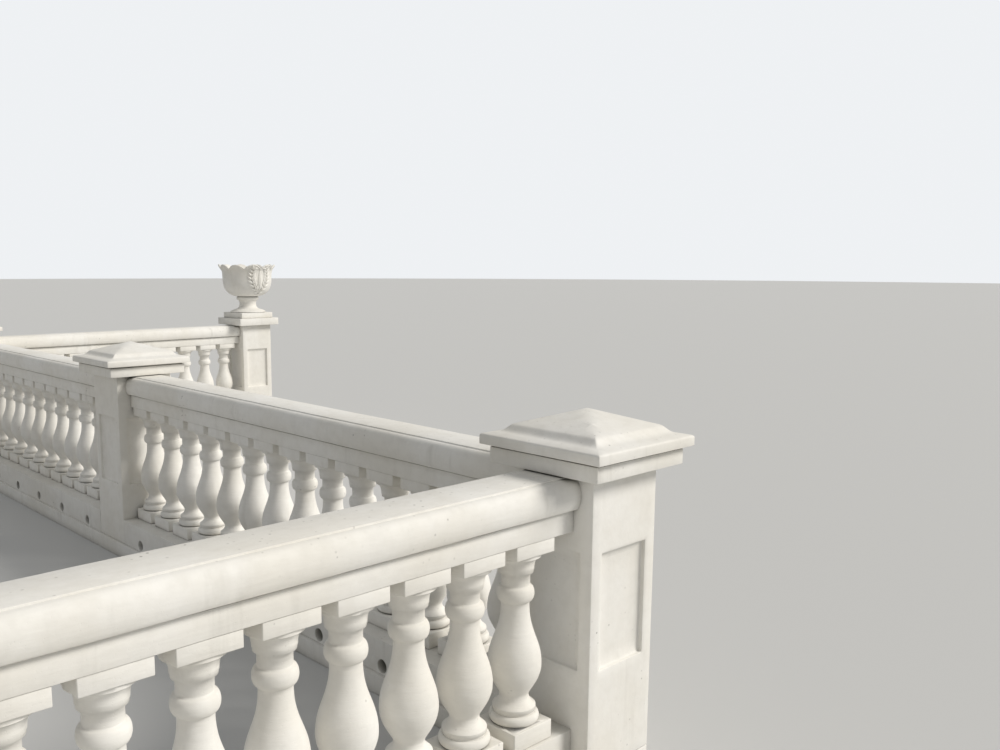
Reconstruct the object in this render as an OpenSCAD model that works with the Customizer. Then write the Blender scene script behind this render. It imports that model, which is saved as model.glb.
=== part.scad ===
// Stone balustrade on an open Z-shaped plan: four bays of turned balusters
// between square posts on a low base course, closed at one end by a pier that
// carries an urn.
// Lengths are in millimetres. +X runs along the front bay, +Y along the two
// side bays and +Z up. The origin is the centre of the footprint at the ground.

/* [Plan] */
// Front bay, between post centres
front_bay = 3460; // [2000:10:4800]
// Middle bay, between post centres
middle_bay = 3460; // [2000:10:4800]
// Rear bay, between post centres
rear_bay = 3310; // [2000:10:4800]
// Return bay, between the rear post and the urn pier
return_bay = 2780; // [2000:10:4800]

/* [Base] */
// Height of the base course that carries posts and kerbs
course_h = 85; // [50:5:160]
// Its projection in front of the posts on the outer side
course_out = 15; // [4:1:40]
// Height of the kerb under the balusters
kerb_h = 145; // [110:5:240]
// Step of the kerb's inner face in front of the baluster blocks
kerb_lap = 12; // [4:1:30]
// Diameter of a weep hole
weep_d = 58; // [30:2:64]
// Height of the web under a weep hole
weep_web = 8; // [4:1:20]

/* [Baluster] */
// Height of a baluster
baluster_h = 662; // [590:2:760]
// Side of the square blocks at its ends
block_w = 170; // [150:2:176]
// Height of the foot block
foot_block_h = 62; // [40:2:80]
// Height of the head block
head_block_h = 47; // [32:1:60]
// Gap between a post and the bay's first block
first_gap = 21; // [10:1:60]
// Gap between the blocks of the front bay and the middle bay
long_gap = 49.5; // [30:0.5:90]
// Gap between the blocks of the rear bay
rear_gap = 38; // [30:1:90]
// Gap between the blocks of the return bay
return_gap = 48; // [30:1:90]
// Radius of the belly
belly_r = 86; // [70:1:92]
// Radius of the waist under the belly
waist_r = 46; // [36:1:50]
// Radius of the ring on the neck
ring_r = 60; // [54:1:70]

/* [Rail] */
// Height of the plain fascia
fascia_h = 76; // [50:2:110]
// Thickness of the fascia
fascia_w = 176; // [172:2:190]
// Height of the round roll
roll_h = 104; // [80:2:140]
// Greatest thickness of the roll
roll_w = 235; // [220:1:280]
// Width of the raised flat on its top
flat_w = 166; // [120:2:180]
// Height of the step at the edges of that flat
step_h = 5; // [2:1:10]

/* [Posts] */
// Side of a post's shaft
shaft_w = 330; // [290:5:380]
// Side of the neck band
band_w = 451; // [420:1:500]
// Height of the neck band
band_h = 52; // [36:2:80]
// Width of a sunk panel
panel_w = 228; // [160:2:240]
// Foot of the panel above the post's foot
panel_foot = 350; // [200:5:500]
// Head of the panel below the neck band
panel_drop = 251; // [120:1:300]
// Depth of the panel's square edge
jamb_d = 14; // [6:1:16]
// Depth of the panel's floor
panel_d = 21; // [18:1:30]
// Width of the sloped margin between them
margin_w = 28; // [8:1:40]
// Side of the cap's slab
slab_w = 503; // [480:1:560]
// Thickness of the slab's edge up to its rounded nose
slab_h = 27; // [18:1:50]
// Radius of that nose
nose_r = 9; // [4:1:16]
// Rise of the slab's sloped top
weather_h = 6; // [3:1:30]
// Side of the cap where its pyramid starts
eave_w = 340; // [300:1:350]
// Width of the curved rise between the sloped top and the pyramid
rise_w = 42; // [24:1:48]
// Height of that rise
rise_h = 27; // [16:1:40]
// Height of the pyramid
pyramid_h = 54; // [30:1:120]

/* [Urn] */
// Height of the urn pier's own neck band
pier_band_h = 70; // [40:2:100]
// Side of the block under the urn
pier_block_w = 364; // [362:1:420]
// Height of the block under the urn
pier_block_h = 56; // [30:1:120]
// Height of the urn
urn_h = 498; // [450:2:560]
// Radius of the urn's foot
urn_foot_r = 180; // [150:1:180]
// Greatest radius of the bowl under the flared rim
bowl_r = 250; // [230:1:262]
// Mean radius of the flared rim
rim_r = 280; // [270:1:300]
// Lobes of the rim
lobes = 10; // [6:1:14]
// Drop of the rim between two lobes
lobe_drop = 40; // [10:1:60]
// Thickness of the bowl's wall
bowl_wall = 26; // [18:1:30]

/* [Hidden] */
$fn = 64;

stone = "#dcdad3";
shade = "#cfcec8";

// Levels, each counted from the ground
floor_z = course_h;
baluster_z = floor_z + kerb_h;
rail_z = baluster_z + baluster_h;
rail_h = fascia_h + roll_h;
rail_clear = 5;
band_z = rail_z + rail_h + rail_clear;
bed_h = 9;
bed_in = 9;
slab_z = band_z + band_h + bed_h;
block_z = band_z + pier_band_h;
urn_z = block_z + pier_block_h;

// Post centres, counted from the corner post
end_x = -front_bay;
rear_y = middle_bay + rear_bay;
pier_x = return_bay;

// Inner and outer edges of the base course, counted from the posts' centres
course_in_y = shaft_w / 2;
course_out_y = shaft_w / 2 + course_out;

// Setting out of a bay: the first block stands a narrow gap off one post, the
// others follow at even gaps, and what is left over lies at the other post
function clear_of(bay) = bay - shaft_w;
function count_of(bay, lead, gap) = floor((clear_of(bay) - 2 * lead + gap) / (block_w + gap));
function axes_of(bay, lead, gap) =
    [for (i = [0:count_of(bay, lead, gap) - 1])
        shaft_w / 2 + lead + block_w / 2 + i * (block_w + gap)];
function from_far(bay, places) = [for (p = places) bay - p];
front_axes = axes_of(front_bay, first_gap, long_gap);
middle_axes = from_far(middle_bay, axes_of(middle_bay, first_gap, long_gap));
rear_axes = axes_of(rear_bay, first_gap, rear_gap);
return_axes = axes_of(return_bay, return_gap, return_gap);

// A weep hole stands in every second gap between two blocks
function weeps_of(axes) = [for (i = [0:2:len(axes) - 2]) (axes[i] + axes[i + 1]) / 2];

// Points of a cubic curve through four corners, its first point left out
function cubic(a, b, c, d, steps) =
    [for (i = [1:steps])
        let (t = i / steps, u = 1 - t)
        u * u * u * a + 3 * u * u * t * b + 3 * u * t * t * c + t * t * t * d];

// Points of an elliptic arc
function arc(centre, rx, ry, from, to, steps) =
    [for (i = [0:steps])
        let (t = from + (to - from) * i / steps)
        [centre[0] + rx * cos(t), centre[1] + ry * sin(t)]];

// Half profile of the turned part of a baluster, as [radius, height]. The
// heights follow the baluster's own height.
turn_h = baluster_h - foot_block_h - head_block_h;
function up(part) = foot_block_h + turn_h * part;
torus_r = 80;
torus_bulge = 14;
torus_half = 17;
fillet_r = 69;
fillet_z = foot_block_h + 2 * torus_half + 7;
flare_r = 66;
flare_z = up(0.101);
waist_z = up(0.157);
belly_z = up(0.34);
neck_r = 45;
neck_z = up(0.68);
ring_mid = up(0.76);
ring_half = up(0.045) - up(0);
ring_bulge = 13;
collar_z = up(0.881);
collar_r = 56;
collar_h = 9;
cavetto_r = 78;
cavetto_z = up(0.98);
head_z = baluster_h - head_block_h;

turned = concat(
    [[0, foot_block_h]],
    arc([torus_r - torus_bulge, foot_block_h + torus_half], torus_bulge, torus_half, -90, 90, 10),
    [[flare_r, fillet_z - 1], [fillet_r, fillet_z], [fillet_r, flare_z - 3]],
    [[flare_r, flare_z]],
    cubic([flare_r, flare_z], [flare_r - 8, flare_z + 6], [waist_r, flare_z + 14], [waist_r, waist_z], 6),
    cubic([waist_r, waist_z], [waist_r, waist_z + 15], [belly_r, belly_z - 50], [belly_r, belly_z], 12),
    cubic([belly_r, belly_z], [belly_r, belly_z + 75], [neck_r + 2, belly_z + 102], [neck_r, neck_z], 16),
    [[neck_r, ring_mid - ring_half - 4]],
    arc([ring_r - ring_bulge, ring_mid], ring_bulge, ring_half, -90, 90, 10),
    [[neck_r + 1, ring_mid + ring_half + 4], [neck_r + 1, collar_z], [collar_r, collar_z + 1],
     [collar_r, collar_z + collar_h]],
    arc([cavetto_r, collar_z + collar_h + 2], collar_r + 2 - cavetto_r,
        cavetto_z - collar_z - collar_h - 2, 0, 90, 7),
    [[cavetto_r + 2, cavetto_z], [cavetto_r + 2, head_z], [0, head_z]]);

// Half profile of the rail as [offset, height], from its underside round to
// the raised flat on its top
roll_mid = fascia_h + roll_h * 0.41;
roll_bow = (roll_w - flat_w) / 2;
quirk_in = 4;
quirk_h = 7;
step_in = 3;
rail_side = concat(
    [[fascia_w / 2, 0],
     [fascia_w / 2, fascia_h - quirk_h],
     [fascia_w / 2 - quirk_in, fascia_h - quirk_h],
     [fascia_w / 2 - quirk_in, fascia_h]],
    arc([flat_w / 2, roll_mid], roll_bow, roll_h * 0.55, -48, 0, 6),
    arc([flat_w / 2, roll_mid], roll_bow, rail_h - step_h - roll_mid, 9, 90, 9),
    [[flat_w / 2 - step_in, rail_h - step_h], [flat_w / 2 - step_in, rail_h]]);
rail_profile = concat(rail_side, [for (i = [len(rail_side) - 1:-1:0]) [-rail_side[i][0], rail_side[i][1]]]);

// Half profile of a post's cap as [half width, height]: the slab's edge with
// its rounded nose, the sloped top, a rise that bends in and out again, and the
// pyramid
rise_z = slab_h + nose_r + weather_h;
eave_z = rise_z + rise_h;
bend_in = [0.43, 0.11];
bend_out = [0.33, 0.83];
cap_side = concat(
    [[slab_w / 2, 0]],
    arc([slab_w / 2 - nose_r, slab_h], nose_r, nose_r, 0, 72, 4),
    [[eave_w / 2 + rise_w, rise_z]],
    cubic([eave_w / 2 + rise_w, rise_z],
          [eave_w / 2 + bend_in[0] * rise_w, rise_z + bend_in[1] * rise_h],
          [eave_w / 2 + bend_out[0] * rise_w, rise_z + bend_out[1] * rise_h],
          [eave_w / 2, eave_z], 8),
    [[0, eave_z + pyramid_h]]);

// Half profile of the urn's foot and stem, as [radius, height] above the block
foot_bulge = 8;
foot_half = 8;
stem_r = 84;
stem_waist_z = urn_h * 0.18;
stem_z = urn_h * 0.333;
knop_r = 114;
knop_half = 18;
knop_bulge = 16;
knop_z = stem_z - knop_half - 2;
bowl_foot_r = 108;
urn_stem = concat(
    [[0, 0]],
    arc([urn_foot_r - foot_bulge, foot_half], foot_bulge, foot_half, -90, 90, 6),
    cubic([urn_foot_r - foot_bulge - 4, 2 * foot_half + 2], [urn_foot_r - 30, 2 * foot_half + 14],
          [knop_r, 2 * foot_half + 18], [knop_r - 12, 2 * foot_half + 28], 6),
    cubic([knop_r - 12, 2 * foot_half + 28], [stem_r + 8, 2 * foot_half + 38],
          [stem_r, stem_waist_z - 24], [stem_r, stem_waist_z], 5),
    cubic([stem_r, stem_waist_z], [stem_r, stem_waist_z + 18], [stem_r + 6, knop_z - knop_half - 12],
          [knop_r - knop_bulge - 3, knop_z - knop_half], 5),
    arc([knop_r - knop_bulge, knop_z], knop_bulge, knop_half, -90, 90, 8),
    [[bowl_foot_r - 8, stem_z - 2], [bowl_foot_r - 8, stem_z], [0, stem_z]]);

// The bowl is a stack of rings, each [radius, height at a lobe's crest, share
// of the lobes' wave]. The wave grows from nothing at the shoulder to the rim.
sides_n = 120;
lip_r = 25;
rim_wave = 0.05;
shoulder_z = urn_h * 0.69;
rim_z = urn_h - 14;
bowl_out = concat(
    [[bowl_foot_r, stem_z, 0]],
    [for (p = cubic([bowl_foot_r, stem_z], [bowl_r * 0.8, stem_z + 10], [bowl_r, stem_z + 76],
                    [bowl_r, shoulder_z], 8)) [p[0], p[1], 0]],
    [for (p = cubic([bowl_r, shoulder_z], [bowl_r, shoulder_z + 55], [bowl_r + 6, rim_z - 40], [rim_r, rim_z], 6))
        [p[0], p[1], pow((p[1] - shoulder_z) / (rim_z - shoulder_z), 2)]]);
bowl_lip = [[rim_r - 2, urn_h - 6, 1],
            [rim_r - 8, urn_h, 1],
            [rim_r - 18, urn_h - 1, 1],
            [rim_r - lip_r, urn_h - 8, 1]];
bowl_in = [for (i = [len(bowl_out) - 2:-1:3])
    [bowl_out[i][0] - bowl_wall, bowl_out[i][1], bowl_out[i][2]]];
bowl_rings = concat(bowl_out, bowl_lip, bowl_in);

// Broad crests with narrow notches between them: 1 on a crest, -1 in a notch
function lobe(turn) = 2 * pow(abs(cos(lobes / 2 * turn)), 0.8) - 1;

function ring_points(ring) =
    [for (k = [0:sides_n - 1])
        let (turn = 360 * k / sides_n, wave = ring[2] * lobe(turn), r = ring[0] * (1 + rim_wave * wave))
        [r * cos(turn), r * sin(turn), ring[1] + lobe_drop / 2 * (wave - ring[2])]];

// The widest thing on each side sets the footprint and so the origin
rim_points = ring_points([rim_r, rim_z, 1]);
low_x = end_x - slab_w / 2;
high_x = pier_x + max(max([for (p = rim_points) p[0]]), band_w / 2);
low_y = -slab_w / 2;
high_y = rear_y + max(max([for (p = rim_points) p[1]]), slab_w / 2);
centre_x = (low_x + high_x) / 2;
centre_y = (low_y + high_y) / 2;

// Places its children in a bay: X along the bay from its first post, Y outwards
module in_bay(x, y, turn) {
    translate([x - centre_x, y - centre_y, 0])
        rotate([0, 0, turn])
            children();
}

// Places its children on a post's axis
module on_post(x, y) {
    translate([x - centre_x, y - centre_y, 0])
        children();
}

// One baluster, standing on the level z = 0
module baluster() {
    translate([-block_w / 2, -block_w / 2, 0])
        cube([block_w, block_w, foot_block_h]);
    rotate_extrude()
        polygon(turned);
    translate([-block_w / 2, -block_w / 2, head_z])
        cube([block_w, block_w, head_block_h]);
}

// The balusters of one bay
module balusters(axes) {
    for (x = axes)
        translate([x, 0, baluster_z])
            baluster();
}

// The kerb of one bay: flush with the posts on the outer side, just in front of
// the baluster blocks on the inner side, with weep holes along its foot
module kerb(bay, axes) {
    inner = block_w / 2 + kerb_lap;
    difference() {
        translate([shaft_w / 2, -inner, floor_z])
            cube([clear_of(bay), inner + shaft_w / 2, kerb_h]);
        for (x = weeps_of(axes))
            translate([x, 0, floor_z + weep_web + weep_d / 2])
                rotate([90, 0, 0])
                    cylinder(h = 2 * shaft_w, d = weep_d, center = true);
    }
}

// The rail of one bay
module rail(bay) {
    translate([shaft_w / 2, 0, rail_z])
        rotate([90, 0, 90])
            linear_extrude(height = clear_of(bay))
                polygon(rail_profile);
}

// A panel's section between two places: a square edge, then a sloped margin
// down to the floor
panel_z = floor_z + panel_foot;
panel_top = band_z - panel_drop;
cut = 1;
function panel_section(from, to) =
    [[shaft_w / 2 - panel_d, from + margin_w],
     [shaft_w / 2 - jamb_d, from],
     [shaft_w / 2 + cut, from],
     [shaft_w / 2 + cut, to],
     [shaft_w / 2 - jamb_d, to],
     [shaft_w / 2 - panel_d, to - margin_w]];

// A panel's hollow on the side that faces +X
module panel_hollow() {
    intersection() {
        translate([0, 0, panel_z - cut])
            linear_extrude(height = panel_top - panel_z + 2 * cut)
                polygon(panel_section(-panel_w / 2, panel_w / 2));
        translate([0, panel_w, 0])
            rotate([90, 0, 0])
                linear_extrude(height = 2 * panel_w)
                    polygon(panel_section(panel_z, panel_top));
    }
}

// A post's shaft, with a sunk panel on each side
module shaft() {
    difference() {
        translate([-shaft_w / 2, -shaft_w / 2, floor_z])
            cube([shaft_w, shaft_w, band_z - floor_z]);
        for (side = [0:90:270])
            rotate([0, 0, side])
                panel_hollow();
    }
}

// A neck band, of the height given
module band(height) {
    translate([-band_w / 2, -band_w / 2, band_z])
        cube([band_w, band_w, height]);
}

// The thin set-back bed between a band and a cap
module bed() {
    translate([-band_w / 2 + bed_in, -band_w / 2 + bed_in, band_z + band_h])
        cube([band_w - 2 * bed_in, band_w - 2 * bed_in, bed_h]);
}

// The cap: the same outline cut along X and along Y
module cap() {
    outline = concat(cap_side, [for (i = [len(cap_side) - 2:-1:0]) [-cap_side[i][0], cap_side[i][1]]]);
    translate([0, 0, slab_z])
        intersection() {
            rotate([90, 0, 90])
                linear_extrude(height = slab_w, center = true)
                    polygon(outline);
            rotate([90, 0, 0])
                linear_extrude(height = slab_w, center = true)
                    polygon(outline);
        }
}

module urn_shell() {
    rings = len(bowl_rings);
    points = [for (ring = bowl_rings) each ring_points(ring)];
    walls = [for (j = [0:rings - 2], k = [0:sides_n - 1])
        let (k2 = (k + 1) % sides_n)
        each [[j * sides_n + k, (j + 1) * sides_n + k, (j + 1) * sides_n + k2],
              [j * sides_n + k, (j + 1) * sides_n + k2, j * sides_n + k2]]];
    foot = [[for (k = [0:sides_n - 1]) k]];
    floor_face = [[for (k = [sides_n - 1:-1:0]) (rings - 1) * sides_n + k]];
    polyhedron(points = points, faces = concat(walls, foot, floor_face), convexity = 6);
}

// A length of base course between two corners, counted from the corner post
module course(x1, y1, x2, y2) {
    on_post(x1, y1)
        cube([x2 - x1, y2 - y1, course_h]);
}

module front_course() {
    color(stone) course(end_x - shaft_w / 2, -course_in_y, shaft_w / 2, course_out_y);
}

module side_course() {
    color(stone) course(-course_out_y, course_out_y, course_in_y, rear_y + course_out_y);
}

module return_course() {
    color(stone) course(course_in_y, rear_y - course_in_y, pier_x + shaft_w / 2, rear_y + course_out_y);
}

module front_kerb() {
    color(stone) in_bay(end_x, 0, 0) kerb(front_bay, front_axes);
}

module front_balusters() {
    color(stone) in_bay(end_x, 0, 0) balusters(front_axes);
}

module front_rail() {
    color(stone) in_bay(end_x, 0, 0) rail(front_bay);
}

module middle_kerb() {
    color(stone) in_bay(0, 0, 90) kerb(middle_bay, middle_axes);
}

module middle_balusters() {
    color(stone) in_bay(0, 0, 90) balusters(middle_axes);
}

module middle_rail() {
    color(stone) in_bay(0, 0, 90) rail(middle_bay);
}

module rear_kerb() {
    color(stone) in_bay(0, middle_bay, 90) kerb(rear_bay, rear_axes);
}

module rear_balusters() {
    color(stone) in_bay(0, middle_bay, 90) balusters(rear_axes);
}

module rear_rail() {
    color(stone) in_bay(0, middle_bay, 90) rail(rear_bay);
}

module return_kerb() {
    color(stone) in_bay(0, rear_y, 0) kerb(return_bay, return_axes);
}

module return_balusters() {
    color(stone) in_bay(0, rear_y, 0) balusters(return_axes);
}

module return_rail() {
    color(stone) in_bay(0, rear_y, 0) rail(return_bay);
}

module end_post_shaft() {
    color(stone) on_post(end_x, 0) shaft();
}

module end_post_band() {
    color(shade) on_post(end_x, 0) {
        band(band_h);
        bed();
    }
}

module end_post_cap() {
    color(stone) on_post(end_x, 0) cap();
}

module corner_post_shaft() {
    color(stone) on_post(0, 0) shaft();
}

module corner_post_band() {
    color(shade) on_post(0, 0) {
        band(band_h);
        bed();
    }
}

module corner_post_cap() {
    color(stone) on_post(0, 0) cap();
}

module middle_post_shaft() {
    color(stone) on_post(0, middle_bay) shaft();
}

module middle_post_band() {
    color(shade) on_post(0, middle_bay) {
        band(band_h);
        bed();
    }
}

module middle_post_cap() {
    color(stone) on_post(0, middle_bay) cap();
}

module rear_post_shaft() {
    color(stone) on_post(0, rear_y) shaft();
}

module rear_post_band() {
    color(shade) on_post(0, rear_y) {
        band(band_h);
        bed();
    }
}

module rear_post_cap() {
    color(stone) on_post(0, rear_y) cap();
}

module pier_shaft() {
    color(stone) on_post(pier_x, rear_y) shaft();
}

module pier_band() {
    color(shade) on_post(pier_x, rear_y) band(pier_band_h);
}

module pier_block() {
    color(stone) on_post(pier_x, rear_y)
        translate([-pier_block_w / 2, -pier_block_w / 2, block_z])
            cube([pier_block_w, pier_block_w, pier_block_h]);
}

module urn_foot() {
    color(stone) on_post(pier_x, rear_y)
        translate([0, 0, urn_z])
            rotate_extrude()
                polygon(urn_stem);
}

module urn_bowl() {
    color(stone) on_post(pier_x, rear_y)
        translate([0, 0, urn_z])
            urn_shell();
}

front_course();
side_course();
return_course();
front_kerb();
front_balusters();
front_rail();
middle_kerb();
middle_balusters();
middle_rail();
rear_kerb();
rear_balusters();
rear_rail();
return_kerb();
return_balusters();
return_rail();
end_post_shaft();
end_post_band();
end_post_cap();
corner_post_shaft();
corner_post_band();
corner_post_cap();
middle_post_shaft();
middle_post_band();
middle_post_cap();
rear_post_shaft();
rear_post_band();
rear_post_cap();
pier_shaft();
pier_band();
pier_block();
urn_foot();
urn_bowl();
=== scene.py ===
"""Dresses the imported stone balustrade: worn edges, painted surfaces, the carved urn and a plain studio."""

from math import atan2, cos, pi, radians, sin, sqrt

import bmesh
import bpy
from bpy.props import FloatProperty, FloatVectorProperty, IntProperty, PointerProperty
from bpy.types import Operator, Panel, PropertyGroup
from mathutils import Matrix, Vector, noise
from mathutils.geometry import interpolate_bezier


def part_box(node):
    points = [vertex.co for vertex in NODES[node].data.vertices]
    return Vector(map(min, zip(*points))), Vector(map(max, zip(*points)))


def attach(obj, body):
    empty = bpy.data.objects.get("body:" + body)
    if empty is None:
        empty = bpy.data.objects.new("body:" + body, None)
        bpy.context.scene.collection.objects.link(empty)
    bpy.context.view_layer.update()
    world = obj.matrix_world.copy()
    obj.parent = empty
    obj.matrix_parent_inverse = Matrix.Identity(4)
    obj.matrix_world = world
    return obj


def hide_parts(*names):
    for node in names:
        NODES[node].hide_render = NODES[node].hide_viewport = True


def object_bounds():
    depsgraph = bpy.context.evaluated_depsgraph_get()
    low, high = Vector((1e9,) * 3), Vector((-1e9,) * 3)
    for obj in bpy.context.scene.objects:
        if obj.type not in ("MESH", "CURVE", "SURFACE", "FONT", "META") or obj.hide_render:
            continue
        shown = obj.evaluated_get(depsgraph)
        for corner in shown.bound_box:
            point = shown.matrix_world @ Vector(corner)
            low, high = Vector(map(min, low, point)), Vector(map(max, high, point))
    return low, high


bl_info = {
    "name": "Stone balustrade finish",
    "version": (1, 0, 0),
    "blender": (4, 5, 0),
    "location": "View3D > Sidebar > Balustrade",
    "description": "Worn and painted stone, a carved urn and a plain studio for a terrace balustrade",
    "category": "Object",
}

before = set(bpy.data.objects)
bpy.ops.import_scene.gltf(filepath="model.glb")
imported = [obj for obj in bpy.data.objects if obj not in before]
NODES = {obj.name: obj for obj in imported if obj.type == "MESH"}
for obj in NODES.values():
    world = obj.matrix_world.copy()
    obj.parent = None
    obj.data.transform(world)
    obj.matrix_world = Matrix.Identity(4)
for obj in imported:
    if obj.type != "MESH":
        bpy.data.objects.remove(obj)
CAD_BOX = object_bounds()

BAYS = ("front", "middle", "rear", "return")
COURSES = ("front_course", "side_course", "return_course")
KERBS = tuple(bay + "_kerb" for bay in BAYS)
BALUSTERS = tuple(bay + "_balusters" for bay in BAYS)
POSTS = ("end_post", "corner_post", "middle_post", "rear_post")
SHAFTS = tuple(post + "_shaft" for post in POSTS) + ("pier_shaft",)
BANDS = tuple(post + "_band" for post in POSTS) + ("pier_band", "pier_block")
CAPS = tuple(post + "_cap" for post in POSTS)

# Points of the CAD mesh that lie closer than this are one point
WELD = 0.00002
# Neighbouring triangles that turn by less than this are parts of one flat face
FLAT = radians(0.6)
# Edges that turn by less than this are the facets of one curved surface
CREASE = radians(32)
# The edges of a baluster's square blocks are longer than this, its other edges shorter
BLOCK_EDGE = 0.03

# A face's unevenness: broad swells and fine ones, each repeated so many times in a metre
BROAD_SWELLS = 2.6
FINE_SWELLS = 13.0
FINE_SHARE = 0.45

# Patterns of the paint: scale, detail, roughness, and the noise at which a patch begins and is full
CLOUDS = (1.7, 5.0, 0.6, 0.38, 0.66)
MOTTLES = (21.0, 4.0, 0.62, 0.35, 0.75)
RUNS = (1.0, 4.0, 0.6, 0.52, 0.74)
WET_PLACES = (2.3, 2.0, 0.5, 0.42, 0.68)
LICHEN_PLACES = (3.1, 3.0, 0.6, 0.53, 0.68)


class WearSettings(PropertyGroup):
    """How far the edges and faces of the stone have worn."""

    arris: FloatProperty(
        name="Arris", description="Width of the worn edges of posts, kerbs and courses",
        default=0.004, min=0.001, max=0.012, unit="LENGTH")
    fine_arris: FloatProperty(
        name="Fine arris", description="Width of the worn edges of mouldings and baluster blocks",
        default=0.0022, min=0.0005, max=0.006, unit="LENGTH")
    cell: FloatProperty(
        name="Cell", description="Spacing of the cuts that let a face undulate",
        default=0.04, min=0.01, max=0.2, unit="LENGTH")
    depth: FloatProperty(
        name="Depth", description="How far a face wanders from its plane",
        default=0.0009, min=0.0, max=0.003, unit="LENGTH")


class PaintSettings(PropertyGroup):
    """Colours of the painted stone, of what has settled on it, and of the shade painted into its hollows and
    holes.
    """

    sound: FloatVectorProperty(
        name="Sound paint", description="Masonry paint that is still sound",
        default=(0.80, 0.775, 0.715), size=3, subtype="COLOR", min=0, max=1)
    chalky: FloatVectorProperty(
        name="Chalky paint", description="Paint that the weather has bleached",
        default=(0.86, 0.845, 0.805), size=3, subtype="COLOR", min=0, max=1)
    # This colour also serves as painted shade in creases, corners and gaps between parts
    dust_and_shade: FloatVectorProperty(
        name="Grime", description="Dust and algae in the hollows",
        default=(0.30, 0.285, 0.24), size=3, subtype="COLOR", min=0, max=1)
    stain: FloatVectorProperty(
        name="Stain", description="Runs below the rails and caps",
        default=(0.52, 0.50, 0.45), size=3, subtype="COLOR", min=0, max=1)
    # This colour also serves as painted deep shade inside holes and narrow gaps
    lichen_and_hole_shade: FloatVectorProperty(
        name="Speck", description="Small dark specks of lichen",
        default=(0.16, 0.15, 0.13), size=3, subtype="COLOR", min=0, max=1)


class UrnSettings(PropertyGroup):
    """Carving of the urn's bowl."""

    sprays: IntProperty(
        name="Sprays", description="Sprays of leaves round the bowl", default=2, min=1, max=4)
    leaflets: IntProperty(
        name="Leaflets", description="Leaflets on each side of a frond", default=8, min=5, max=16)
    leaf_height: FloatProperty(
        name="Leaf height", description="How far the leaves stand out of the bowl",
        default=0.015, min=0.002, max=0.02, unit="LENGTH")
    lobes: IntProperty(
        name="Lobes", description="Lobes of the rim", default=10, min=6, max=14)
    lobe_drop: FloatProperty(
        name="Lobe drop", description="How far the rim falls between two lobes",
        default=0.044, min=0.0, max=0.06, unit="LENGTH")
    steps: IntProperty(
        name="Steps", description="Steps of the bowl's full turn", default=180, min=60, max=240)


class StudioSettings(PropertyGroup):
    """Floor, backdrop, light and lens."""

    floor: FloatVectorProperty(
        name="Floor", description="Colour of the floor",
        default=(0.60, 0.60, 0.59), size=3, subtype="COLOR", min=0, max=1)
    backdrop: FloatVectorProperty(
        name="Backdrop", description="Colour behind the balustrade",
        default=(0.86, 0.88, 0.90), size=3, subtype="COLOR", min=0, max=1)
    sky: FloatProperty(
        name="Sky", description="Strength of the light from all round", default=0.36, min=0, max=3)
    key: FloatProperty(
        name="Key", description="Strength of the soft sun-side lamp", default=2.7, min=0, max=20)
    focal: FloatProperty(
        name="Focal length", description="Focal length in millimetres on a 36 mm sensor",
        default=34.0, min=20, max=80, unit="CAMERA")


def settings(name):
    """The settings group of that name on the scene."""
    return getattr(bpy.context.scene, "balustrade_" + name)


def merged_copy(node):
    """A bmesh of a CAD node with its loose triangles joined and its flat faces whole."""
    bm = bmesh.new()
    bm.from_mesh(NODES[node].data)
    bmesh.ops.remove_doubles(bm, verts=bm.verts, dist=WELD)
    bmesh.ops.dissolve_limit(bm, angle_limit=FLAT, verts=bm.verts, edges=bm.edges)
    return bm


def wear_edges(bm, width, shortest=0.0):
    """Rounds the edges where two faces really meet, as hands and weather do."""
    bm.normal_update()
    sharp = [edge for edge in bm.edges
             if edge.is_manifold and edge.calc_face_angle() > CREASE and edge.calc_length() > shortest]
    bmesh.ops.bevel(bm, geom=sharp, offset=width, offset_type="OFFSET", segments=2, profile=0.5,
                    affect="EDGES", material=-1, clamp_overlap=True)


def cut_into_cells(bm, size, axes):
    """Cuts the mesh by evenly spaced planes across the axes, so that its faces can bend."""
    for axis in axes:
        low = min(vert.co[axis] for vert in bm.verts)
        high = max(vert.co[axis] for vert in bm.verts)
        count = int((high - low) / size)
        direction = Vector([1.0 if i == axis else 0.0 for i in range(3)])
        for i in range(1, count + 1):
            place = direction * (low + (high - low) * i / (count + 1))
            bmesh.ops.bisect_plane(bm, geom=bm.verts[:] + bm.edges[:] + bm.faces[:], dist=1e-6,
                                   plane_co=place, plane_no=direction)


def undulate(bm, depth):
    """Moves every point a little along its normal, in broad swells and fine ones."""
    bm.normal_update()
    apart = Vector((7.0, 3.0, 5.0))
    for vert in bm.verts:
        broad = noise.noise(vert.co * BROAD_SWELLS)
        fine = noise.noise(vert.co * FINE_SWELLS + apart)
        vert.co += vert.normal * depth * (broad + FINE_SHARE * fine)


def keep_in_box(bm):
    """Brings points that stand out of the CAD model's box back to its sides."""
    for vert in bm.verts:
        vert.co = [min(max(part, low), high) for part, low, high in zip(vert.co, *CAD_BOX)]


def new_piece(name, bm, material, node):
    """Turns a bmesh into a piece that rides on the body and stands for the CAD node."""
    keep_in_box(bm)
    mesh = bpy.data.meshes.new(name)
    bm.to_mesh(mesh)
    bm.free()
    mesh.shade_smooth()
    mesh.set_sharp_from_angle(angle=CREASE)
    mesh.materials.append(material)
    piece = bpy.data.objects.new(name, mesh)
    bpy.context.scene.collection.objects.link(piece)
    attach(piece, "root")
    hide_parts(node)


def worn_piece(node, material, width, cell, depth, axes=(0, 1, 2)):
    """Makes a worn copy of one CAD node, which stands for it."""
    bm = merged_copy(node)
    wear_edges(bm, width)
    cut_into_cells(bm, cell, axes)
    undulate(bm, depth)
    new_piece("worn_" + node, bm, material, node)


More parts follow.
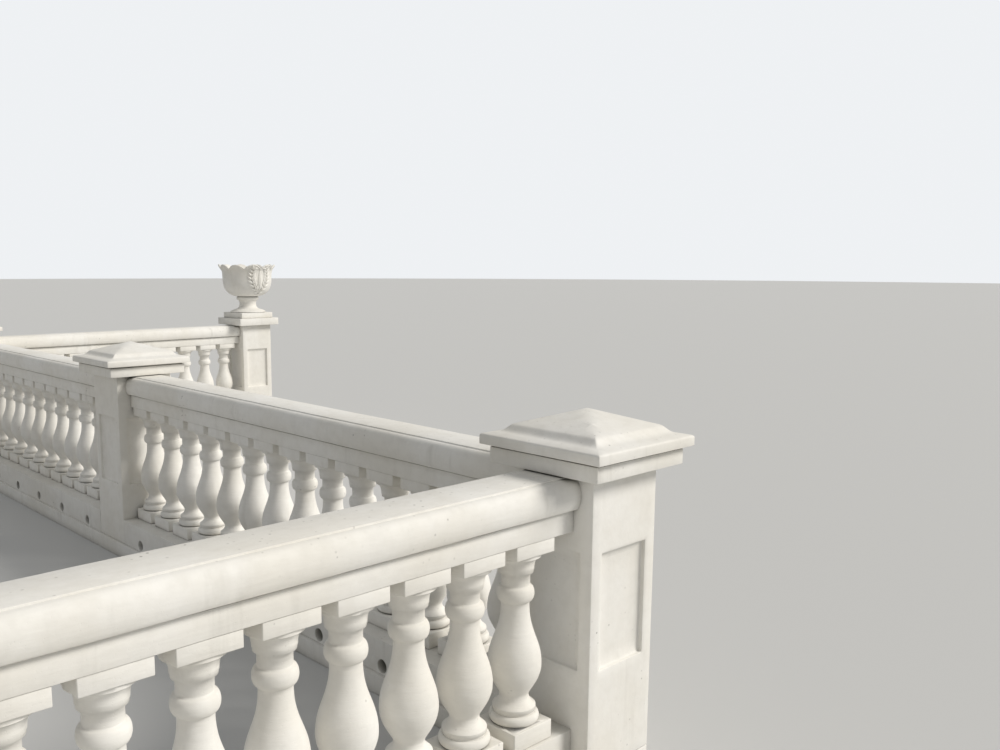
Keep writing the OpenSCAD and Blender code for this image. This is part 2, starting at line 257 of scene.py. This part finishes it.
class Nodes:
    """Short ways to add and link the nodes of one material."""

    # A mix node has sockets for numbers, vectors and colours, and these are the ones for colours
    first_colour = 6
    second_colour = 7
    mixed_colour = 2

    def __init__(self, name):
        self.material = bpy.data.materials.new(name)
        self.material.use_nodes = True
        self.tree = self.material.node_tree
        self.shader = self.tree.nodes["Principled BSDF"]
        self.place = self.tree.nodes.new("ShaderNodeTexCoord").outputs["Object"]

    def add(self, kind, **values):
        """A new node with properties or sockets set by name."""
        node = self.tree.nodes.new("ShaderNode" + kind)
        for key, value in values.items():
            if hasattr(node, key):
                setattr(node, key, value)
            else:
                socket = node.inputs[key.replace("_", " ").title()]
                self.feed(socket, value)
        return node

    def feed(self, socket, value):
        """Links an output to a socket, or sets the socket's own value."""
        if isinstance(value, bpy.types.NodeSocket):
            self.tree.links.new(value, socket)
        else:
            socket.default_value = value

    def stretched(self, scale, offset=(0, 0, 0)):
        """Object coordinates scaled along each axis, then shifted."""
        mapping = self.add("Mapping", vector_type="POINT")
        self.feed(mapping.inputs["Vector"], self.place)
        mapping.inputs["Scale"].default_value = scale
        mapping.inputs["Location"].default_value = offset
        return mapping.outputs["Vector"]

    def shifted(self, offset):
        """Object coordinates shifted, so that two patterns don't fall on one another."""
        return self.stretched((1, 1, 1), offset)

    def noise(self, scale, detail, roughness, vector=None):
        """A noise pattern's value."""
        node = self.add("TexNoise", scale=scale, detail=detail, roughness=roughness)
        self.feed(node.inputs["Vector"], vector or self.place)
        return node.outputs["Fac"]

    def patches(self, scale, detail, roughness, begins, full, vector=None):
        """Noise turned into patches: 0 where it is below the one value, 1 above the other."""
        return self.band(self.noise(scale, detail, roughness, vector), begins, full)

    def cells(self, scale):
        """The distance from the nearest of many scattered points."""
        node = self.add("TexVoronoi", feature="F1", scale=scale, randomness=1.0)
        self.feed(node.inputs["Vector"], self.place)
        return node.outputs["Distance"]

    def band(self, value, low, high, to_low=0.0, to_high=1.0):
        """A value mapped smoothly from one range to another and kept inside it."""
        node = self.add("MapRange", interpolation_type="SMOOTHSTEP", clamp=True)
        self.feed(node.inputs["Value"], value)
        limits = {"From Min": low, "From Max": high, "To Min": to_low, "To Max": to_high}
        for socket, number in limits.items():
            node.inputs[socket].default_value = number
        return node.outputs["Result"]

    def maths(self, operation, first, second):
        """Two values joined by an operation."""
        node = self.add("Math", operation=operation)
        self.feed(node.inputs[0], first)
        self.feed(node.inputs[1], second)
        return node.outputs["Value"]

    def mix(self, share, first, second):
        """Two colours mixed by a share."""
        node = self.add("Mix", data_type="RGBA")
        self.feed(node.inputs["Factor"], share)
        for socket, colour in ((self.first_colour, first), (self.second_colour, second)):
            opaque = colour if isinstance(colour, bpy.types.NodeSocket) else (*colour, 1.0)
            self.feed(node.inputs[socket], opaque)
        return node.outputs[self.mixed_colour]


def upward(mat):
    """How far a face looks up: 1 on a level top, 0 on a side."""
    normal = mat.add("SeparateXYZ")
    mat.feed(normal.inputs["Vector"], mat.add("NewGeometry").outputs["Normal"])
    return mat.band(normal.outputs["Z"], 0.55, 0.95)


def bleached(mat, paint, tone, mottled):
    """Sound paint with clouds of chalky paint and a faint mottle."""
    sound = [tone * part for part in paint.sound]
    chalky = [tone * part for part in paint.chalky]
    colour = mat.mix(mat.patches(*CLOUDS), sound, chalky)
    return mat.mix(mat.maths("MULTIPLY", mottled, 0.12), colour, paint.stain)


def with_runs(mat, colour, paint, streaks, level):
    """Adds upright runs of dirty water on the sides, in some places only."""
    narrow_and_tall = mat.stretched((17.0, 17.0, 1.5))
    runs = mat.patches(*RUNS, narrow_and_tall)
    runs = mat.maths("MULTIPLY", runs, mat.patches(*WET_PLACES, mat.shifted((4, 1, 9))))
    runs = mat.maths("MULTIPLY", runs, mat.maths("SUBTRACT", 1.0, level))
    return mat.mix(mat.maths("MULTIPLY", runs, streaks), colour, paint.stain)


def with_dust_and_painted_shade(mat, colour, paint, dust_and_shade, reach):
    """Adds painted shade that creeps out of the hollows by the reach, partly standing for dust settled there,
    and paints deep dark shade inside holes and narrow gaps.
    """
    # Painted shade: ambient occlusion darkens creases, corners and gaps between parts, partly standing for
    # dust settled there
    hollow = mat.add("AmbientOcclusion", samples=6, distance=reach)
    shade = mat.maths("SUBTRACT", 1.0, hollow.outputs["AO"])
    broken = mat.band(mat.noise(9.0, 4.0, 0.65), 0.25, 0.7, 0.35, 1.0)
    shade = mat.maths("MULTIPLY", mat.band(shade, 0.22, 0.95), broken)
    colour = mat.mix(mat.maths("MULTIPLY", shade, dust_and_shade), colour, paint.dust_and_shade)
    # Painted shade: where almost no light reaches, deep in holes and narrow gaps, the colour goes to the dark
    # speck colour
    return mat.mix(mat.band(hollow.outputs["AO"], 0.42, 0.1, 0.0, 0.9), colour, paint.lichen_and_hole_shade)


def with_specks(mat, colour, paint, specks, level):
    """Adds small round specks of lichen, in patches and thinly on the level tops."""
    dots = mat.band(mat.cells(34.0), 0.16, 0.07)
    where = mat.patches(*LICHEN_PLACES, mat.shifted((2, 8, 3)))
    dots = mat.maths("MULTIPLY", dots, mat.maths("MAXIMUM", where, mat.maths("MULTIPLY", level, 0.35)))
    return mat.mix(mat.maths("MULTIPLY", dots, specks), colour, paint.lichen_and_hole_shade)


def uneven(mat, tooling):
    """The surface's normal with trowel marks, grain and pits."""
    trowel = mat.noise(1.0, 3.0, 0.5, mat.stretched(tooling))
    grain = mat.noise(260.0, 3.0, 0.65)
    pit = mat.band(mat.cells(95.0), 0.05, 0.2)
    height = mat.maths("ADD", mat.maths("MULTIPLY", trowel, 2.2), mat.maths("MULTIPLY", grain, 0.28))
    height = mat.maths("ADD", height, mat.maths("MULTIPLY", pit, 0.35))
    bump = mat.add("Bump", strength=0.55, distance=0.0011)
    mat.feed(bump.inputs["Height"], height)
    return bump.outputs["Normal"]


def painted_stone(name, streaks, dust_and_shade, specks, tone=1.0, reach=0.045, tooling=(22.0, 22.0, 22.0)):
    """Masonry paint on cast stone, with tool marks that repeat so many times in a metre along each axis."""
    mat = Nodes(name)
    paint = settings("paint")
    mottled = mat.patches(*MOTTLES)
    level = upward(mat)
    colour = bleached(mat, paint, tone, mottled)
    colour = with_runs(mat, colour, paint, streaks, level)
    # Painted shade in the hollows, gaps and holes, mixed with dust, is added here
    colour = with_dust_and_painted_shade(mat, colour, paint, dust_and_shade, reach)
    colour = with_specks(mat, colour, paint, specks, level)
    mat.feed(mat.shader.inputs["Base Color"], colour)
    mat.feed(mat.shader.inputs["Roughness"], mat.band(mottled, 0.0, 1.0, 0.62, 0.86))
    mat.shader.inputs["Specular IOR Level"].default_value = 0.35
    mat.feed(mat.shader.inputs["Normal"], uneven(mat, tooling))
    return mat.material


class BALUSTRADE_OT_base(Operator):
    """Wears and paints the base course and the kerbs."""

    bl_idname = "balustrade.base"
    bl_label = "Base course and kerbs"

    def execute(self, context):
        wear = settings("wear")
        # The long reach makes the painted shade fill the weep holes and the gaps round the kerbs
        stone = painted_stone("kerb_paint", tone=0.95, streaks=0.6, dust_and_shade=0.85, specks=0.7, reach=0.09)
        for node in COURSES + KERBS:
            worn_piece(node, stone, width=wear.arris, cell=2 * wear.cell, depth=wear.depth)
        return {"FINISHED"}


class BALUSTRADE_OT_rails(Operator):
    """Wears and paints the moulded rails."""

    bl_idname = "balustrade.rails"
    bl_label = "Rails"

    def execute(self, context):
        wear = settings("wear")
        # Trowel strokes run along a rail, so they repeat seldom along it and often across it
        for along, nodes, strokes in ((0, ("front_rail", "return_rail"), (9.0, 60.0, 60.0)),
                                      (1, ("middle_rail", "rear_rail"), (60.0, 9.0, 60.0))):
            name = "rail_paint_" + "xy"[along]
            stone = painted_stone(name, streaks=0.4, dust_and_shade=0.6, specks=0.75, tooling=strokes)
            for node in nodes:
                worn_piece(node, stone, width=0.6 * wear.fine_arris, cell=wear.cell,
                           depth=1.4 * wear.depth, axes=(along,))
        return {"FINISHED"}


class BALUSTRADE_OT_balusters(Operator):
    """Wears and paints the turned balusters."""

    bl_idname = "balustrade.balusters"
    bl_label = "Balusters"

    def execute(self, context):
        wear = settings("wear")
        # Turned work keeps level lines, so they repeat often on the way up
        lines = (14.0, 14.0, 75.0)
        stone = painted_stone("baluster_paint", streaks=0.35, dust_and_shade=0.62, specks=0.45, tooling=lines)
        for node in BALUSTERS:
            bm = merged_copy(node)
            wear_edges(bm, 1.3 * wear.fine_arris, shortest=BLOCK_EDGE)
            undulate(bm, 0.7 * wear.depth)
            new_piece("worn_" + node, bm, stone, node)
        return {"FINISHED"}


class BALUSTRADE_OT_posts(Operator):
    """Wears and paints the posts, their neck bands and caps."""

    bl_idname = "balustrade.posts"
    bl_label = "Posts, bands and caps"

    def execute(self, context):
        wear = settings("wear")
        stone = painted_stone("post_paint", streaks=0.32, dust_and_shade=0.65, specks=0.5)
        for node in SHAFTS:
            worn_piece(node, stone, width=wear.arris, cell=wear.cell, depth=1.3 * wear.depth)
        for node in BANDS + CAPS:
            worn_piece(node, stone, width=0.7 * wear.arris, cell=wear.cell, depth=wear.depth)
        return {"FINISHED"}


class BALUSTRADE_OT_urn(Operator):
    """Carves the urn's bowl with its lobed rim and leaf sprays, and paints the urn."""

    bl_idname = "balustrade.urn"
    bl_label = "Urn"

    # The bowl's outline as curves through four corners, each (radius, height above the urn's foot)
    body = ((0.108, 0.166), (0.200, 0.176), (0.250, 0.242), (0.250, 0.344))
    flare = ((0.250, 0.344), (0.250, 0.399), (0.253, 0.444), (0.281, 0.485))
    lip = ((0.281, 0.485), (0.281, 0.498), (0.262, 0.500), (0.255, 0.482))
    throat = ((0.255, 0.482), (0.238, 0.444), (0.226, 0.400), (0.226, 0.330))
    well = ((0.226, 0.330), (0.226, 0.250), (0.190, 0.202), (0.110, 0.202))
    # The lobes' wave grows from nothing at this height to its full at the crest
    wave_from = 0.415
    crest = 0.485
    # How far a lobe leans out and a ripple stands out, as shares of the radius, and the ripples of a lobe
    lobe_flare = 0.035
    ripple_depth = 0.0025
    ripples = 5
    # A frond's midline starts here on the way up the bowl's side, and rises and swings out by so much
    frond_foot = 0.095
    frond_rise = 0.285
    frond_swing = 0.086
    # The centre leaf starts so far above the fronds
    centre_gap = 0.04
    # Lengths and widths of the leaves; a leaflet half-way up its frond is longer by the bulge
    foot_leaf = (0.042, 0.022)
    leaflet = (0.040, 0.034)
    leaflet_bulge = 0.020
    tip_leaf = (0.045, 0.028)
    centre_leaf = (0.20, 0.050)
    midrib_width = 0.012
    # How far the leaves lean off the line that they grow from
    foot_leans = (radians(125), radians(-125), pi)
    leaflet_lean = radians(48)
    # A leaf's edge lies so far under the bowl's surface, and its rib takes these shares of width and height
    seat = 0.0012
    rib_width = 0.24
    rib_height = 0.28

    def execute(self, context):
        values = settings("urn")
        wear = settings("wear")
        stone = painted_stone("urn_paint", tone=0.98, streaks=0.3, dust_and_shade=0.6, specks=0.4, reach=0.03)
        worn_piece("urn_foot", stone, width=0.6 * wear.fine_arris, cell=wear.cell,
                   depth=wear.depth, axes=(2,))
        low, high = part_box("urn_foot")
        self.centre = Vector(((low.x + high.x) / 2, (low.y + high.y) / 2, low.z))
        self.side = self.curve(self.body, 20) + self.curve(self.flare, 20)[1:]
        self.walk = self.measured(self.side)
        bm = self.bowl(values)
        for i in range(values.sprays):
            self.spray(bm, values, -pi / 2 + 2 * pi * i / values.sprays)
        bmesh.ops.translate(bm, verts=bm.verts, vec=self.centre)
        new_piece("carved_urn_bowl", bm, stone, "urn_bowl")
        return {"FINISHED"}

    def curve(self, corners, count):
        """Points of the cubic curve through four corners."""
        return interpolate_bezier(*(Vector(corner) for corner in corners), count)

    def measured(self, line):
        """Each point of the side with its distance along the side and the direction out of it."""
        walked, places = 0.0, []
        for i, point in enumerate(line):
            before, after = line[max(i - 1, 0)], line[min(i + 1, len(line) - 1)]
            walked += (point - before).length
            up = (after - before).normalized()
            places.append((walked, point, Vector((up.y, -up.x))))
        return places

    def lobed(self, values, turn, radius, level, base):
        """The point at a turn, radius and level, moved as the lobes move the side at the base's height."""
        share = min(max((base - self.wave_from) / (self.crest - self.wave_from), 0.0), 1.0) ** 1.5
        # Round crests with sharp notches between them, from 1 to -1
        lobe = 2 * abs(cos(values.lobes / 2 * turn)) ** 0.75 - 1
        by_hand = noise.noise(Vector((3 * cos(turn), 3 * sin(turn), 4.0)))
        wave = share * (lobe + 0.25 * by_hand)
        ripple = share * self.ripple_depth * cos(self.ripples * values.lobes * turn)
        radius *= 1 + self.lobe_flare * wave + ripple
        level += 0.5 * values.lobe_drop * (wave - share) + 0.4 * ripple
        return Vector((radius * cos(turn), radius * sin(turn), level))

    def on_side(self, values, turn, place, height):
        """The point that stands out of the bowl's side by the height; its place is (offset round, way up)."""
        offset, along = place
        along = min(max(along, 0.0), self.walk[-1][0] - 1e-6)
        for (first, low, low_out), (second, high, high_out) in zip(self.walk, self.walk[1:]):
            if along <= second:
                share = (along - first) / (second - first)
                break
        base = low.lerp(high, share)
        radius, level = base + low_out.lerp(high_out, share) * height
        return self.lobed(values, turn + offset / base.x, radius, level, base.y)

    def bowl(self, values):
        """The bowl with its rolled and lobed rim, spun from its outline."""
        line = [Vector((0.0, self.side[0].y))] + self.side
        for corners, count in ((self.lip, 12), (self.throat, 16), (self.well, 12)):
            line += self.curve(corners, count)[1:]
        line.append(Vector((0.0, line[-1].y)))
        bm = bmesh.new()
        verts = [bm.verts.new((point.x, 0.0, point.y)) for point in line]
        for pair in zip(verts, verts[1:]):
            bm.edges.new(pair)
        bmesh.ops.spin(bm, geom=bm.verts[:] + bm.edges[:], cent=(0, 0, 0), axis=(0, 0, 1), angle=2 * pi,
                       steps=values.steps, use_merge=True, use_normal_flip=False, use_duplicate=False)
        bmesh.ops.remove_doubles(bm, verts=bm.verts, dist=WELD)
        bmesh.ops.recalc_face_normals(bm, faces=bm.faces)
        for vert in bm.verts:
            turn = atan2(vert.co.y, vert.co.x)
            vert.co = self.lobed(values, turn, vert.co.xy.length, vert.co.z, vert.co.z)
        return bm

    def leaf(self, bm, values, turn, spine, width, height, cuts=12):
        """One pointed leaf with a raised rib and rounded halves, laid on the bowl's side along its spine."""
        made = bmesh.ops.create_grid(bm, x_segments=8, y_segments=cuts, size=1.0)
        for vert in made["verts"]:
            across, up = vert.co.x, (vert.co.y + 1) / 2
            # The outline swells quickly to its widest, below the middle, and ends in a point
            half = 0.5 * width * sin(pi * up ** 0.8) ** 0.7 if 0 < up < 1 else 0.0
            ahead = (spine(up + 0.01) - spine(up - 0.01)).normalized()
            place = spine(up) + Vector((ahead.y, -ahead.x)) * across * half
            # The leaf stands highest before its middle and lowest at its tip
            swell = 0.4 + 0.6 * sin(pi * min(1.0, up + 0.1))
            rib = max(0.0, 1 - abs(across) / self.rib_width)
            blade = sqrt(max(0.0, 1 - (1.25 * abs(across) - 0.25) ** 2)) if abs(across) < 1 else 0.0
            raised = height * swell * ((1 - self.rib_height) * blade + self.rib_height * rib)
            vert.co = self.on_side(values, turn, place, raised - self.seat)

    def spine(self, root, ahead, lean, length):
        """The line of a small leaf that leans off the direction ahead and bends back towards it."""
        start = Matrix.Rotation(lean, 2) @ ahead
        return lambda up: root + (start * up + ahead * 0.2 * up * up) * length

    def frond(self, bm, values, turn, foot, side):
        """A feathered frond that swings out to one side and rises to the rim."""
        def midline(up):
            return foot + Vector((side * self.frond_swing * sin(2.3 * up), self.frond_rise * up))

        length, width = self.leaflet
        for i in range(values.leaflets):
            up = (i + 0.3) / values.leaflets
            ahead = (midline(up + 0.01) - midline(up)).normalized()
            grown = length + self.leaflet_bulge * sin(pi * up)
            for hand in (-1, 1):
                # The lowest leaflet towards the centre leaf has no room
                if hand == side or i > 0:
                    spine = self.spine(midline(up), ahead, -hand * self.leaflet_lean, grown)
                    self.leaf(bm, values, turn, spine, width, values.leaf_height)
        length, width = self.tip_leaf
        self.leaf(bm, values, turn, self.spine(midline(0.88), ahead, 0.0, length), width, values.leaf_height)
        self.leaf(bm, values, turn, midline, self.midrib_width, 1.1 * values.leaf_height, 4 * values.leaflets)

    def spray(self, bm, values, turn):
        """Three small leaves at the foot, a frond on each side and a plain leaf between the fronds."""
        upright = Vector((0.0, 1.0))
        foot = Vector((0.0, self.frond_foot))
        length, width = self.foot_leaf
        for lean in self.foot_leans:
            spine = self.spine(foot, upright, lean, length)
            self.leaf(bm, values, turn, spine, width, 0.8 * values.leaf_height)
        for side in (-1, 1):
            self.frond(bm, values, turn, foot, side)
        length, width = self.centre_leaf
        spine = self.spine(foot + self.centre_gap * upright, upright, 0.0, length)
        self.leaf(bm, values, turn, spine, width, values.leaf_height, 24)


class BALUSTRADE_OT_studio(Operator):
    """Sets the floor, the lamps and the camera at the photograph's viewing angle."""

    bl_idname = "balustrade.studio"
    bl_label = "Studio"

    # The camera's place is counted from the middle of the corner post, and its height from the post's foot
    corner = (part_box("corner_post_shaft")[0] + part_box("corner_post_shaft")[1]) / 2
    eye = Vector((-2.425, -1.944))
    eye_height = 1.653
    heading = radians(47.088)
    pitch = radians(8.093)
    roll = radians(0.175)
    # The photograph is framed a little off its lens's axis
    frame_shift = (0.050, 0.0204)
    floor_radius = 90.0
    # The soft lamp shines this way, looks so wide and is a little warmer than the light from all round
    lamp_way = Vector((-0.50, 0.62, -0.60))
    lamp_width = radians(20)
    lamp_colour = (1.0, 0.965, 0.91)
    sky_colour = (0.97, 0.985, 1.0)

    def execute(self, context):
        scene = context.scene
        values = settings("studio")
        self.add_floor(scene, values)
        self.add_light(scene, values)
        self.add_camera(scene, values)
        scene.view_settings.view_transform = "Standard"
        return {"FINISHED"}

    def add_floor(self, scene, values):
        """A plain pale floor at ground level."""
        bm = bmesh.new()
        bmesh.ops.create_circle(bm, cap_ends=True, segments=96, radius=self.floor_radius)
        mesh = bpy.data.meshes.new("studio_floor")
        bm.to_mesh(mesh)
        bm.free()
        mat = Nodes("floor_paint")
        mat.shader.inputs["Base Color"].default_value = (*values.floor, 1.0)
        mat.shader.inputs["Roughness"].default_value = 0.9
        mesh.materials.append(mat.material)
        floor = bpy.data.objects.new("studio_floor", mesh)
        scene.collection.objects.link(floor)

    def add_light(self, scene, values):
        """Light from all round, in front of a pale backdrop, and one soft lamp."""
        world = bpy.data.worlds.new("studio_world")
        world.use_nodes = True
        scene.world = world
        tree = world.node_tree
        tree.nodes.clear()
        lit = tree.nodes.new("ShaderNodeBackground")
        lit.inputs["Color"].default_value = (*self.sky_colour, 1.0)
        lit.inputs["Strength"].default_value = values.sky
        # The camera and reflections see the backdrop, which doesn't light the stone
        seen = tree.nodes.new("ShaderNodeBackground")
        seen.inputs["Color"].default_value = (*values.backdrop, 1.0)
        seen.inputs["Strength"].default_value = 1.0
        path = tree.nodes.new("ShaderNodeLightPath")
        either = tree.nodes.new("ShaderNodeMath")
        either.operation = "MAXIMUM"
        tree.links.new(path.outputs["Is Camera Ray"], either.inputs[0])
        tree.links.new(path.outputs["Is Glossy Ray"], either.inputs[1])
        mix = tree.nodes.new("ShaderNodeMixShader")
        tree.links.new(either.outputs["Value"], mix.inputs["Fac"])
        tree.links.new(lit.outputs["Background"], mix.inputs[1])
        tree.links.new(seen.outputs["Background"], mix.inputs[2])
        out = tree.nodes.new("ShaderNodeOutputWorld")
        tree.links.new(mix.outputs["Shader"], out.inputs["Surface"])

        lamp = bpy.data.lights.new("studio_key", "SUN")
        lamp.energy = values.key
        lamp.angle = self.lamp_width
        lamp.color = self.lamp_colour
        key = bpy.data.objects.new("studio_key", lamp)
        key.rotation_euler = self.lamp_way.to_track_quat("-Z", "Y").to_euler()
        scene.collection.objects.link(key)

    def add_camera(self, scene, values):
        """The camera at the photograph's place, with its lens and framing."""
        lens = bpy.data.cameras.new("studio_camera")
        lens.sensor_width = 36.0
        lens.sensor_fit = "HORIZONTAL"
        lens.lens = values.focal
        lens.shift_x, lens.shift_y = self.frame_shift
        camera = bpy.data.objects.new("studio_camera", lens)
        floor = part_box("corner_post_shaft")[0].z
        place = Vector((self.corner.x + self.eye.x, self.corner.y + self.eye.y, floor + self.eye_height))
        level = cos(self.pitch)
        ahead = Vector((cos(self.heading) * level, sin(self.heading) * level, -sin(self.pitch)))
        turn = ahead.to_track_quat("-Z", "Y").to_matrix().to_4x4()
        camera.matrix_world = Matrix.Translation(place) @ turn @ Matrix.Rotation(self.roll, 4, "Z")
        scene.collection.objects.link(camera)
        scene.camera = camera


class BALUSTRADE_PT_panel(Panel):
    """Lists the steps and their settings in the sidebar."""

    bl_label = "Balustrade"
    bl_space_type = "VIEW_3D"
    bl_region_type = "UI"
    bl_category = "Balustrade"

    def draw(self, context):
        """Draws a button for each step and a box for each group of settings."""
        for step in STEPS:
            self.layout.operator(step.bl_idname)
        for name, group in GROUPS.items():
            box = self.layout.box()
            box.label(text=name.title())
            for field in group.__annotations__:
                box.prop(settings(name), field)


GROUPS = {"wear": WearSettings, "paint": PaintSettings, "urn": UrnSettings, "studio": StudioSettings}
STEPS = (BALUSTRADE_OT_studio, BALUSTRADE_OT_base, BALUSTRADE_OT_rails, BALUSTRADE_OT_balusters,
         BALUSTRADE_OT_posts, BALUSTRADE_OT_urn)


def register():
    """Registers the settings, the steps and the panel."""
    for name, group in GROUPS.items():
        bpy.utils.register_class(group)
        setattr(bpy.types.Scene, "balustrade_" + name, PointerProperty(type=group))
    for step in STEPS:
        bpy.utils.register_class(step)
    bpy.utils.register_class(BALUSTRADE_PT_panel)


def unregister():
    """Takes back what register set up."""
    bpy.utils.unregister_class(BALUSTRADE_PT_panel)
    for step in reversed(STEPS):
        bpy.utils.unregister_class(step)
    for name, group in reversed(GROUPS.items()):
        delattr(bpy.types.Scene, "balustrade_" + name)
        bpy.utils.unregister_class(group)


def main():
    """Runs every step in order."""
    register()
    for step in STEPS:
        group, name = step.bl_idname.split(".")
        getattr(getattr(bpy.ops, group), name)()


if __name__ == "__main__":
    main()
